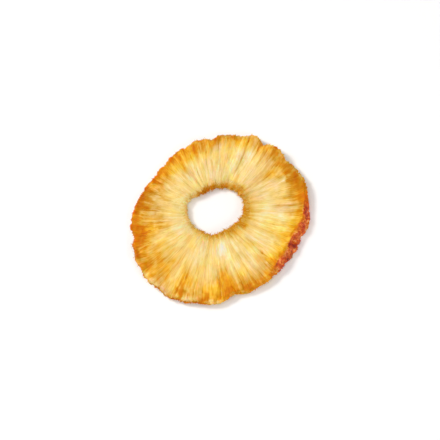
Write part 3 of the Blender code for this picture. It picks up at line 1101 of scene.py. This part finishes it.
def lying_fibres(name, count, middle, material, seed):
    """Long dry fibres that have come loose along the upper face."""
    draw = np.random.default_rng(seed)
    way = draw.uniform(0, TAU, count)
    start = draw.uniform(0.08, 0.85, count)
    end = np.minimum(start + draw.uniform(0.06, 0.20, count), 0.98)
    level = np.ones(count)
    lean = draw.normal(0, 0.02, count)
    root, tone = on_surface(way, start, level)
    half, _ = on_surface(way + 0.6 * lean, (start + end) / 2, level)
    tips, tip_tone = on_surface(way + lean, end, level)
    half = 2 * half - (root + tips) / 2 + draw.uniform(0.0, 0.06, (count, 1)) * (0, 0, MM)
    thick = FIBRE_THICKNESS * draw.uniform(0.7, 1.4, count)
    tones = np.column_stack([tone, tip_tone]) - draw.uniform(0.04, 0.16, (count, 1))
    return joined_fibres(name, root, half, tips, thick, tones, middle, material)


def add_floor():
    """A pale round floor that curves up all round."""
    floor = bmesh.new()
    bmesh.ops.create_circle(floor, cap_ends=True, segments=96, radius=FLOOR_REACH)
    edge = [side for side in floor.edges if side.is_boundary]
    step_length = FLOOR_CURVE_LENGTH / FLOOR_CURVE_STEPS
    for step in range(FLOOR_CURVE_STEPS):
        slope = FLOOR_CURVE_END * (step + 0.5) / FLOOR_CURVE_STEPS
        grown = bmesh.ops.extrude_edge_only(floor, edges=edge)["geom"]
        edge = [part for part in grown if isinstance(part, bmesh.types.BMEdge)]
        rim = [part for part in grown if isinstance(part, bmesh.types.BMVert)]
        wider = 1 + step_length * math.cos(slope) / rim[0].co.to_2d().length
        bmesh.ops.scale(floor, vec=(wider, wider, 1), verts=rim)
        bmesh.ops.translate(floor, vec=(0, 0, step_length * math.sin(slope)), verts=rim)
    bmesh.ops.recalc_face_normals(floor, faces=floor.faces)
    mesh = bpy.data.meshes.new("floor")
    floor.to_mesh(mesh)
    floor.free()
    mesh.shade_smooth()

    shader = Shader("floor")
    shader.surface.inputs["Base Color"].default_value = FLOOR_COLOUR
    shader.surface.inputs["Roughness"].default_value = 0.9
    distance = shader.add("ShaderNodeVectorMath", operation="LENGTH")
    shader.feed(distance.inputs[0], shader.add("ShaderNodeTexCoord").outputs["Object"])
    glow = shader.span(distance.outputs["Value"], *GLOW_DISTANCES, *GLOW_STRENGTHS)
    shader.surface.inputs["Emission Color"].default_value = (1.0, 1.0, 1.0, 1.0)
    shader.feed(shader.surface.inputs["Emission Strength"], glow)
    mesh.materials.append(shader.material)
    floor_object = bpy.data.objects.new("floor", mesh)
    bpy.context.scene.collection.objects.link(floor_object)


def add_lights():
    """Soft light, most of it from the upper left."""
    world = bpy.data.worlds.new("studio")
    world.use_nodes = True
    background = world.node_tree.nodes["Background"]
    background.inputs["Color"].default_value = (1.0, 1.0, 1.0, 1.0)
    background.inputs["Strength"].default_value = SURROUNDING_LIGHT
    bpy.context.scene.world = world
    for name, place, width, power in LAMPS:
        light = bpy.data.lights.new(name, "AREA")
        light.shape = "DISK"
        light.size = width
        light.energy = power
        light.color = LAMP_COLOUR
        lamp = bpy.data.objects.new(name, light)
        lamp.location = place
        lamp.rotation_euler = (-Vector(place)).to_track_quat("-Z", "Y").to_euler()
        bpy.context.scene.collection.objects.link(lamp)


def add_camera(middle):
    """The camera, looking down on the ring with the ring's +Y upwards in the picture."""
    aim = CAMERA_AIM - Vector((*middle, 0.0))
    back = Vector((
        math.sin(CAMERA_AROUND) * math.cos(CAMERA_ABOVE),
        -math.cos(CAMERA_AROUND) * math.cos(CAMERA_ABOVE),
        math.sin(CAMERA_ABOVE),
    ))
    right = Vector((0, 1, 0)).cross(back).normalized()
    up = back.cross(right)
    lens = bpy.data.cameras.new("camera")
    lens.lens = CAMERA_LENS_MM
    lens.sensor_width = CAMERA_SENSOR_MM
    camera = bpy.data.objects.new("camera", lens)
    turned = Matrix((right, up, back)).transposed().to_4x4()
    camera.matrix_world = Matrix.Translation(aim + back * CAMERA_DISTANCE) @ turned
    bpy.context.scene.collection.objects.link(camera)
    bpy.context.scene.camera = camera


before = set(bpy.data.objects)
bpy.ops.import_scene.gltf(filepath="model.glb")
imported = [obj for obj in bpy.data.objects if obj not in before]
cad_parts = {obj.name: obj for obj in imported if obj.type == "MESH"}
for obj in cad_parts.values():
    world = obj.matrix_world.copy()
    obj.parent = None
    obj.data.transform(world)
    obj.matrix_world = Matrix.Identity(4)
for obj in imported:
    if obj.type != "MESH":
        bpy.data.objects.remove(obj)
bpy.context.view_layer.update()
bpy.context.scene.view_settings.view_transform = "Standard"

ring, middle = make_ring()
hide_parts("pineapple_ring")
dry = fibre_material()
pieces = [ring]
for name, count, length, shares, levels, outwards, seed in TORN_FIBRES:
    pieces.append(torn_fibres(name, count, length, shares, levels, outwards, middle, dry, seed))
pieces.append(lying_fibres("face_fibres", FACE_FIBRES, middle, dry, seed=203))
for piece in pieces:
    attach(piece, "root")

add_floor()
add_lights()
add_camera(middle)
